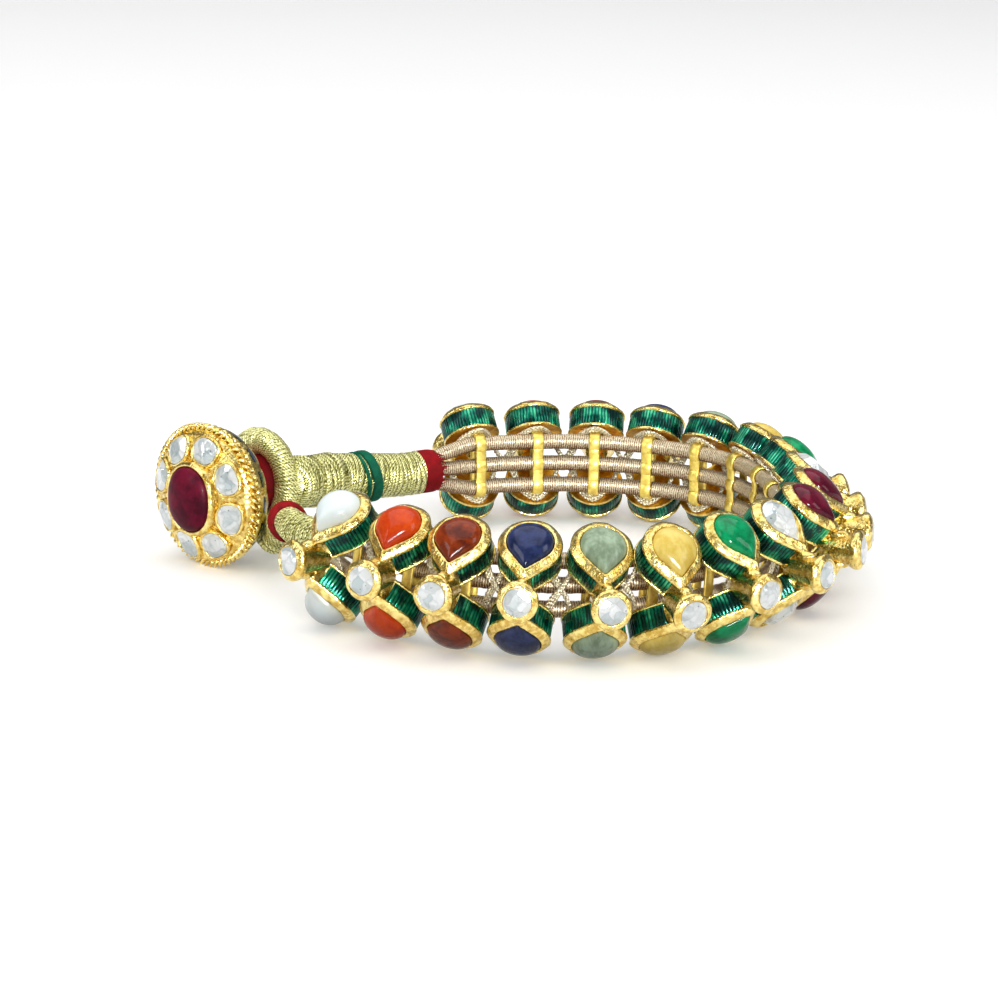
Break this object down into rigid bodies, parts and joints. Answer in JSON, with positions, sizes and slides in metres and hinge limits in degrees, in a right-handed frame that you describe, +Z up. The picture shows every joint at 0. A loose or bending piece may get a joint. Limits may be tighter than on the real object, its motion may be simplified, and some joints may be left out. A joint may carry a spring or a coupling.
{
  "type": "nine-gem bracelet",
  "caption": "Wrist bracelet of paired drop-set gem stations threaded on three wound cords, closed by a jewelled button in a wound loop.",
  "frame": {"origin": "middle of the bounding box at the height of the surface the bracelet lies on", "axes": "+Z up, along the way a wrist goes through; +X the longer way across, away from the button; -Y the side with the first pearl station"},
  "size_m": [0.09, 0.0812, 0.0182],
  "materials": {
    "gold": "hand-beaten high-carat gold, bright and slightly uneven",
    "green_enamel": "clear green enamel fused over fine cut ribs",
    "back_enamel": "dark blue and green enamel between gold lines",
    "pearl": "pale pearl with a soft sheen",
    "coral": "polished opaque coral",
    "hessonite": "polished brown-red cabochon",
    "blue_sapphire": "polished violet-blue cabochon",
    "cats_eye": "polished grey-green cabochon",
    "yellow_sapphire": "polished creamy yellow cabochon",
    "emerald": "polished bright green cabochon",
    "diamond": "uncut diamond over silver foil",
    "ruby": "polished deep red cabochon",
    "cord_thread": "finely wound metallic thread over a core",
    "gold_thread": "coarse wound metallic gold thread",
    "lacing": "twisted metallic strand",
    "red_silk": "wound crimson silk",
    "green_silk": "wound green silk"
  },
  "bodies": {
    "root": {"setting_01": "gold", "setting_02": "gold", "setting_03": "gold", "setting_04": "gold", "setting_05": "gold", "setting_06": "gold", "setting_07": "gold", "setting_08": "gold", "setting_09": "gold", "setting_10": "gold", "setting_11": "gold", "setting_12": "gold", "setting_13": "gold", "setting_14": "gold", "setting_15": "gold", "setting_16": "gold", "setting_17": "gold", "setting_18": "gold", "pearl_pair_01": "pearl", "coral_pair_02": "coral", "hessonite_pair_03": "hessonite", "blue_sapphire_pair_04": "blue_sapphire", "cats_eye_pair_05": "cats_eye", "yellow_sapphire_pair_06": "yellow_sapphire", "emerald_pair_07": "emerald", "diamond_pair_08": "diamond", "ruby_pair_09": "ruby", "ruby_pair_10": "ruby", "diamond_pair_11": "diamond", "emerald_pair_12": "emerald", "yellow_sapphire_pair_13": "yellow_sapphire", "cats_eye_pair_14": "cats_eye", "blue_sapphire_pair_15": "blue_sapphire", "hessonite_pair_16": "hessonite", "coral_pair_17": "coral", "pearl_pair_18": "pearl", "collet_stones": "diamond", "cord_top": "cord_thread", "cord_middle": "cord_thread", "cord_bottom": "cord_thread", "neck_red_band": "red_silk", "neck_wrap": "gold_thread", "neck_green_bands": "green_silk", "clasp_loop": "gold_thread", "stub_wrap": "gold_thread", "stub_red_band": "red_silk", "shank": "red_silk", "button_case": "gold", "button_ruby": "ruby", "button_stones": "diamond"}
  },
  "joints": []
}
